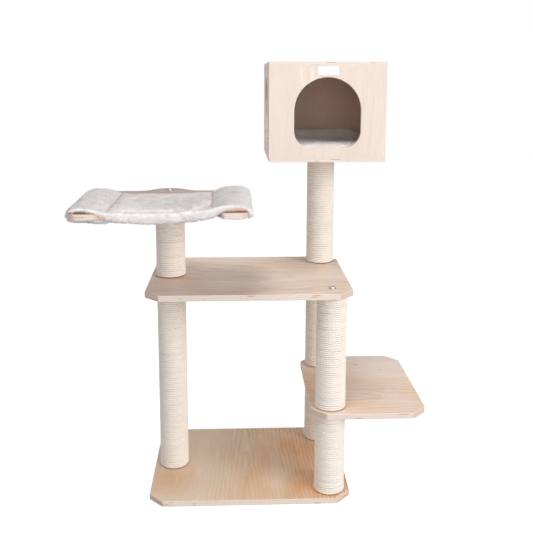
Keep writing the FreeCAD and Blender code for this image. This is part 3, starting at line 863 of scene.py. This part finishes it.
def pocket_mesh(name, shape):
    """A thick-walled sleeve round one prong, with rounded lips at both mouths."""
    around = 200
    front = closed_spline(shape["front"], around) * MM
    back = closed_spline(shape["back"], around) * MM
    lip = LINING_DEPTH / 2
    places, depths = zip(*shape["top_depth"])
    on_top = np.clip((front[:, 1] - 2 * MM) / (6 * MM), 0, 1)
    wall_depth = np.interp(front[:, 0] / MM, places, depths) * MM
    wall_depth = on_top * wall_depth + (1 - on_top) * LINING_DEPTH

    def inward(outline):
        run = np.roll(outline, -1, 0) - np.roll(outline, 1, 0)
        run /= np.linalg.norm(run, axis=1, keepdims=True)
        return np.stack([run[:, 1], -run[:, 0]], -1)

    # how far each place round the mouth stands behind the front of the cover
    top = np.clip((front[:, 1] + 2 * MM) / (12 * MM), 0, 1)
    wall = np.clip((front[:, 0] - 222 * MM) / (10 * MM), 0, 1)
    setback = (1 - top) * shape["floor_front"] + top * wall * shape["wall_front"]
    setback = np.maximum(setback, wall * shape["wall_front"])
    for _ in range(12):
        setback = (np.roll(setback, 1) + setback + np.roll(setback, -1)) / 3
    mouth = COVER_FRONT + setback

    # rows from the back over the outside, round the front lip, and back along the lining:
    # the share of the way to the front, the depth under the outside, and the lip's bulge
    outside = np.linspace(0, 1, 190)
    lining = np.linspace(1, 0, 40)
    turn = np.linspace(0, math.pi, 7)[1:-1]
    rows = [(t, 0.0, 0.0) for t in outside]
    rows += [(1.0, lip * (1 - math.cos(a)), -lip * math.sin(a)) for a in turn]
    rows += [(t, LINING_DEPTH, 0.0) for t in lining]
    rows += [(0.0, lip * (1 - math.cos(a)), lip * math.sin(a)) for a in turn[::-1]]

    grid = np.zeros((len(rows), around, 3))
    for r, (t, depth, beyond) in enumerate(rows):
        outline = back * (1 - t) + front * t
        outline = outline + inward(outline) * depth * (wall_depth / LINING_DEPTH)[:, None]
        v = (COVER_BACK - lip) * (1 - t) + (mouth + lip) * t + beyond
        if depth > lip:
            outline = clear_of_prong(outline)
        grid[r] = hammock_points(outline[:, 0] * shape["side"], v, outline[:, 1])
    if shape["side"] < 0:
        grid = grid[:, ::-1]
    made = grid_object(name, grid, True, True)
    return made, len(outside), around


PRONG_INNER = 155 * MM
PRONG_OUTER = 228 * MM
PRONG_CLEARANCE = 0.8 * MM
LIP_ROWS = 6
LIP_SHARE = 0.06


def clear_of_prong(outline):
    """Moves points of a lining out of the prong's section."""
    half = (BOARD_HIGH - BOARD_LOW) / 2 + PRONG_CLEARANCE
    u, z = outline[:, 0].copy(), outline[:, 1].copy()
    beside = u > PRONG_OUTER - 6 * MM
    above = (z > 0) & ~beside
    below = (z <= 0) & ~beside
    over = u > PRONG_INNER - 8 * MM
    z = np.where(above & over, np.maximum(z, half), z)
    z = np.where(below & over, np.minimum(z, -half), z)
    u = np.where(beside, np.maximum(u, PRONG_OUTER + PRONG_CLEARANCE), u)
    return np.stack([u, z], -1)


def make_pocket(side, fur, lining):
    shape = POCKETS[side]
    made, outside_rows, around = pocket_mesh(f"cover_{side}_pocket", shape)
    made.data.materials.append(fur)
    made.data.materials.append(lining)
    rows = np.arange(len(made.data.polygons)) // around
    inner = rows > outside_rows + 1
    made.data.polygons.foreach_set("material_index", inner.astype(np.int32))

    # the outside is lumpy, less so close to its lips, and the lining is smooth
    vertex_rows = np.arange(len(made.data.vertices)) // around
    half = outside_rows / 2
    furry = 1 - np.abs(vertex_rows - half) / (half + LIP_ROWS)
    furry = np.clip(furry, 0, LIP_SHARE) / LIP_SHARE

    def amount(points, normals):
        up = np.clip(normals[:, 2], 0, 1)
        return furry * (lumps(points, 0.045, 3) * shape["puff"] * up
                        + lumps(points * np.array([0.5, 1, 1]), 0.014, 5) * 1.4 * MM
                        + lumps(points, 0.006, 7) * 0.9 * MM)

    displace(made, amount)
    return made


# the bed's upper and lower sides at its front and its back, in mm from the board's middle
BED_PLACES = [-131, -95, -62, -5, 43, 87, 131]
BED_TOP_FRONT = [8, 6, 4.5, 4, 6.5, 11, 15]
BED_LOW_FRONT = [-11, -13.5, -15, -18, -16, -11, -4]
BED_TOP_BACK = [10, 7, 5, 4, 5, 8, 13]
BED_LOW_BACK = [-4, -9, -12, -13, -12, -8, -1]
BED_SAG = 3.0


def bed_limits(u, v):
    """Highest and lowest place of the bed over and under a place."""
    t = np.clip((v - COVER_FRONT) / (COVER_BACK - COVER_FRONT), 0, 1)
    at = u / MM
    top_front, low_front, top_back, low_back = (through(BED_PLACES, side, at) for side in (
        BED_TOP_FRONT, BED_LOW_FRONT, BED_TOP_BACK, BED_LOW_BACK))
    sag = BED_SAG * np.sin(math.pi * t) * np.cos(at / BED_PLACES[-1] * math.pi / 2)
    top = top_front * (1 - t) + top_back * t - sag
    front_share = np.exp(-t / 0.09)
    low = (low_back - sag) * (1 - front_share) + low_front * front_share
    return top * MM, low * MM


def make_bed(fur):
    """A padded panel between the seams, with a deeper rolled edge at the front."""
    u = np.linspace(-1, 1, 131)[None, :] * (SEAM + 1 * MM)
    # a flat oval section, from the back over the top to the front and back underneath
    section = np.linspace(0, 2 * math.pi, 300, endpoint=False)[:, None]
    run = squared(np.cos(section), 0.16)
    rise = squared(np.sin(section), 0.75)
    half = (COVER_BACK - COVER_FRONT) / 2
    v = (COVER_BACK + COVER_FRONT) / 2 + run * half
    top, low = bed_limits(u, v)
    z = (top + low) / 2 + rise * (top - low) / 2
    made = grid_object("cover_bed", hammock_points(u, v, z), True, False)
    face_outwards(made.data, fill=True)
    remesh(made, 4.5 * MM)

    def held(points):
        u_at, v_at, _ = hammock_axes(points)
        return (np.abs(u_at) > SEAM - 4 * MM) | (v_at < COVER_FRONT + 5 * MM) | (
            v_at > COVER_BACK - 5 * MM)

    inflate(made, 2.5, 7 * MM, held, slack=0.014)
    apply_modifier(made, "SMOOTH", factor=0.5, iterations=5)
    apply_modifier(made, "SUBSURF", levels=1)

    def amount(points, normals):
        u_at, v_at, _ = hammock_axes(points)
        rim = np.clip((SEAM + 2 * MM - np.abs(u_at)) / (10 * MM), 0, 1)
        folds = lumps(points * np.array([0.3, 1.0, 1.0]), 0.013, 21)
        return rim * (lumps(points, 0.05, 13) * 1.6 * MM + folds * 1.5 * MM
                      + lumps(points, 0.013, 15) * 1.1 * MM + lumps(points, 0.006, 17) * 0.7 * MM)

    displace(made, amount)
    dress(made, fur)
    return made


# rolled edges of the cover: the place across, and the upper and lower side there, in mm
FRONT_HEM = [(-225, 14, 8), (-218, 17.5, 12), (-203, 20, 14.5), (-178, 18.5, 11.5),
             (-162, 14.8, 5.5), (-146, 10.5, -1), (-131, 8.4, -11), (-110, 7.8, -14.8),
             (-62, 5.6, -16.9), (-5, 4.9, -20.0), (43, 7.4, -17.5), (73, 10.2, -14.5),
             (107, 13.6, -9.8), (128, 16.2, -5.0), (147, 20, 3.5), (160, 23, 10.5),
             (184, 25.3, 15), (204, 23, 16), (219, 19, 13), (227, 14, 4), (230, 7, -3),
             (227, 0, -9)]
LOWER_HEM = [(-181, 1, -10), (-174, -4, -12.5), (-162, -8, -15), (-150, -10, -16.5),
             (-138, -10.5, -16.5), (-129, -10, -15)]
LINING_EDGES = {
    "left": [(-219, 12.5, 10.5), (-203, 15, 12.6), (-180, 12.3, 9.4), (-166, 8, 2),
             (-154, 5, -5), (-144, 1, -9), (-132, -6, -12)],
    "right": [(141, 7, -0.5), (150, 9.5, 3), (158, 12.5, 8.5), (183, 17, 9.6),
              (204, 18, 10.8), (219, 15, 8.8)],
}


def rolled_edge(name, bends, v, deep, material):
    """A roll of cloth along the front, whose height changes on the way."""
    bends = np.array(bends, float) * MM
    middle = np.stack([bends[:, 0], bends[:, 1:].mean(1)], -1)
    along = np.concatenate([[0], np.cumsum(np.linalg.norm(np.diff(middle, axis=0), axis=1))])
    steps = np.linspace(0, along[-1], max(40, int(along[-1] / (1.2 * MM))))
    u = through(along, middle[:, 0], steps)
    z = through(along, middle[:, 1], steps)
    half = through(along, (bends[:, 1] - bends[:, 2]) / 2, steps)
    across = np.stack([np.gradient(z), -np.gradient(u)], -1)
    across /= np.linalg.norm(across, axis=1, keepdims=True)
    ends = np.sqrt(np.clip(np.minimum(steps, along[-1] - steps) / (4 * MM), 0.02, 1))
    angles = np.linspace(0, 2 * math.pi, 40, endpoint=False)
    offset = (half * ends)[:, None] * squared(np.cos(angles), 0.8)
    reach = ((deep + 0.22 * half) * ends)[:, None] * np.sin(angles)
    grid = hammock_points(u[:, None] + across[:, :1] * offset, v + reach,
                          z[:, None] + across[:, 1:] * offset)
    made = grid_object(name, grid, False, True, caps=True)
    dress(made, material)
    return made


def make_hems(fur):
    """The cover's rolled front edge, and the lower one that curls up by the left prong."""
    hems = [rolled_edge("cover_front_hem", FRONT_HEM, COVER_FRONT + 3 * MM, 4.5 * MM, fur),
            rolled_edge("cover_lower_hem", LOWER_HEM, COVER_FRONT + 5 * MM, 4 * MM, fur)]
    for hem in hems:
        displace(hem, lambda points, normals: (
            lumps(points, 0.018, 41) * 1.4 * MM + lumps(points, 0.008, 43) * 0.9 * MM))
    return hems


def make_seam_binding(side, tape_and_shade):
    """The tape that is folded over the seam between the bed and a pocket; its pinkish brown is
    partly the tape's own and partly painted shade of the seam's valley.
    """
    sign = POCKETS[side]["side"]
    t = np.linspace(0, 1, 120)
    v = COVER_FRONT * (1 - t) + COVER_BACK * t + (1 - 2 * t) * 3 * MM
    top, _ = bed_limits(np.full_like(v, sign * SEAM), v)
    wander = (np.sin(t * 19 + sign) * 0.7 + np.sin(t * 43) * 0.4) * MM
    angles = np.linspace(0, 2 * math.pi, 12, endpoint=False)
    thick = 1.9 * MM * (1 + 0.25 * np.sin(t * 47 + sign))[:, None]
    grid = hammock_points(
        (sign * SEAM + wander)[:, None] + np.cos(angles) * thick, v[:, None],
        (top - 0.6 * MM)[:, None] + np.sin(angles) * thick * 1.3)
    made = grid_object(f"cover_{side}_binding", grid, False, True, caps=True)
    dress(made, tape_and_shade)
    return made


def make_hammock_cover():
    # painted light: the cover's plush and its lining glow a little though they are no lamps
    fur = plush("cream_plush", srgb(252, 247, 245), srgb(226, 216, 213), 0, painted_glow=0.09)
    # painted light: the hem's fur is a lighter copy of the cover's fur, for the light on its front
    lighter_hem_fur = plush("hem_plush_painted_lighter", srgb(255, 252, 251), srgb(242, 235, 233), 3, painted_glow=0.14)
    lining = woven("peach_lining", srgb(252, 174, 116), srgb(242, 154, 94), painted_glow=0.45)
    # the seam tape's pinkish brown is partly its own colour and partly painted shade of the seam's
    # valley
    tape_and_shade = woven("seam_tape_and_shade", srgb(214, 190, 176), srgb(178, 146, 130))
    bed = make_bed(fur)
    hems = make_hems(lighter_hem_fur)
    facings = [rolled_edge(f"cover_{side}_lining_edge", bends, COVER_FRONT + 4 * MM, 1.5 * MM,
                           lining) for side, bends in LINING_EDGES.items()]
    pockets = [make_pocket(side, fur, lining) for side in POCKETS]
    bindings = [make_seam_binding(side, tape_and_shade) for side in POCKETS]
    comb = tuple(FORWARD * 0.35 + Vector((0.1, 0, 0)))
    tufts = 29000
    grow_pile(bed, tufts, 5.5 * MM, 1.3 * MM, comb, 1)
    for number, (hem, share) in enumerate(zip(hems, (3, 12))):
        grow_pile(hem, tufts // share, 5.5 * MM, 1.2 * MM, comb, 5 + number)
    for number, pocket in enumerate(pockets):
        grow_pile(pocket, tufts * 2 // 3, 6 * MM, 1.3 * MM, comb, 2 + number, bald=in_pocket)
    for piece in [bed, *hems, *facings, *pockets, *bindings]:
        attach(piece, "cover")
    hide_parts("hammock_cover")


def in_pocket(points, normals):
    """True on the pockets' linings, which face their prong."""
    u, v, z = hammock_axes(points)
    middle = (PRONG_INNER + PRONG_OUTER) / 2
    to_side = np.abs(u) - middle
    outward_u = normals @ np.array(RIGHTWARD) * np.sign(u)
    return outward_u * to_side / (50 * MM) + normals[:, 2] * z / (15 * MM) < -0.1


# ---- condo cushion


def make_cushion():
    low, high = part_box("condo_cushion")
    # painted light: the cushion's pile glows faintly though it is no lamp
    fur = plush("cushion_plush", srgb(254, 252, 251), srgb(243, 236, 232), 1, painted_glow=0.02)
    thick = 34 * MM
    climb = 95 * MM
    rim = high.z - low.z
    section = np.linspace(0, 2 * math.pi, 160, endpoint=False)[:, None]
    run = squared(np.cos(section), 0.22)
    rise = squared(np.sin(section), 0.6)
    x = np.linspace(low.x, high.x, 60)[None, :]
    pull = np.abs((x - (low.x + high.x) / 2) / (high.x - low.x) * 2) ** 6
    half = (high.y - low.y) / 2 - 5 * MM * pull
    y = (high.y + low.y) / 2 + run * half
    near_wall = np.clip((y - (high.y - climb)) / climb, 0, 1)
    top = low.z + thick * (1 - 0.25 * pull) + (rim - thick) * near_wall ** 2 * (3 - 2 * near_wall)
    z = (top + low.z) / 2 + rise * (top - low.z) / 2
    made = grid_object("cushion", np.stack(np.broadcast_arrays(x, y, z), -1), True, False)
    face_outwards(made.data, fill=True)
    remesh(made, 6 * MM)

    def held(spots):
        return (spots[:, 2] < low.z + 4 * MM) | (spots[:, 1] > high.y - 6 * MM)

    inflate(made, 3.0, 6 * MM, held, slack=0.02)
    apply_modifier(made, "SUBSURF", levels=1)
    displace(made, lambda spots, normals: (
        lumps(spots, 0.012, 31) * 0.7 * MM + lumps(spots, 0.04, 33) * 1.2 * MM)
        * np.clip(normals[:, 2] + 0.4, 0, 1))
    dress(made, fur)
    grow_pile(made, 30000, 4.0 * MM, 1.1 * MM, (0, -0.2, 0), 9,
              bald=lambda spots, normals: normals[:, 2] < -0.5)
    keep_inside(made, low + Vector((-3, -3, 0)) * MM, high + Vector((3, 3, 6)) * MM)
    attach(made, "cushion")
    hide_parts("condo_cushion")


def keep_inside(piece, low, high):
    """Presses the points of a piece back into a box."""
    set_points(piece.data, np.clip(get_points(piece.data), np.array(low), np.array(high)))


# ---- camera, light, floor


def make_camera():
    """The picture's viewpoint: a little left of the middle, just under the roof's height."""
    pitch, yaw, roll = (math.radians(a) for a in (9.29, 2.27, 0.11))
    forward = Vector((math.sin(yaw) * math.cos(pitch), math.cos(yaw) * math.cos(pitch),
                      -math.sin(pitch)))
    right = Vector((math.cos(yaw), -math.sin(yaw), 0))
    up = right.cross(forward)
    right, up = (right * math.cos(roll) + up * math.sin(roll),
                 up * math.cos(roll) - right * math.sin(roll))
    axes = Matrix((right, up, -forward)).transposed().to_4x4()
    data = bpy.data.cameras.new("camera")
    data.sensor_width = 36
    data.lens = 49.11
    data.shift_y = -0.1248
    camera = bpy.data.objects.new("camera", data)
    camera.matrix_world = Matrix.Translation((-0.0318, -2.1997, 1.2377)) @ axes
    bpy.context.scene.collection.objects.link(camera)
    bpy.context.scene.camera = camera


def area_light(name, place, target, size, power):
    data = bpy.data.lights.new(name, "AREA")
    data.shape = "RECTANGLE"
    data.size = data.size_y = size
    data.energy = power
    lamp = bpy.data.objects.new(name, data)
    lamp.location = place
    aim = Vector(target) - Vector(place)
    lamp.rotation_euler = aim.to_track_quat("-Z", "Y").to_euler()
    bpy.context.scene.collection.objects.link(lamp)


def make_studio():
    """A white room: its walls look brighter to the camera than they shine on the tree."""
    world = bpy.data.worlds.new("studio")
    bpy.context.scene.world = world
    world.use_nodes = True
    tree = world.node_tree
    chooser = tree.nodes.new("ShaderNodeMixShader")
    path = tree.nodes.new("ShaderNodeLightPath")
    shining, seen = tree.nodes["Background"], tree.nodes.new("ShaderNodeBackground")
    for background, strength in ((shining, 0.5), (seen, 1.0)):
        background.inputs["Color"].default_value = (1, 1, 1, 1)
        background.inputs["Strength"].default_value = strength
    for source, socket in zip((path.outputs["Is Camera Ray"], shining.outputs[0],
                               seen.outputs[0]), chooser.inputs):
        tree.links.new(source, socket)
    tree.links.new(chooser.outputs[0], tree.nodes["World Output"].inputs[0])
    area_light("key", (3.7, -3.5, 2.3), (0, 0, 0.7), 3.0, 163)
    area_light("fill", (-0.2, -3.5, 1.2), (0, 0, 0.7), 2.0, 16)
    area_light("top", (-0.4, -0.95, 3.4), (0.1, 0, 0.7), 1.0, 31)

    corners = np.array([[(-9, -9, 0), (9, -9, 0)], [(-9, 9, 0), (9, 9, 0)]], float)
    floor = grid_object("studio_floor", corners, False, False)
    s = Shader("pale_floor")
    speck = s.noise(s.vector(*s.position()), scale=6, detail=2)
    floor.data.materials.append(s.finish(
        s.mix(speck, (0.80, 0.80, 0.80), (0.82, 0.82, 0.82)), 0.9,
        Emission_Color=(1, 1, 1, 1), Emission_Strength=0.62))
    floor.visible_diffuse = False
    settings = bpy.context.scene.view_settings
    settings.view_transform = "Standard"
    settings.look = "None"


make_camera()
make_studio()
make_boards()
make_hardware()
make_posts()
make_hammock_cover()
make_cushion()
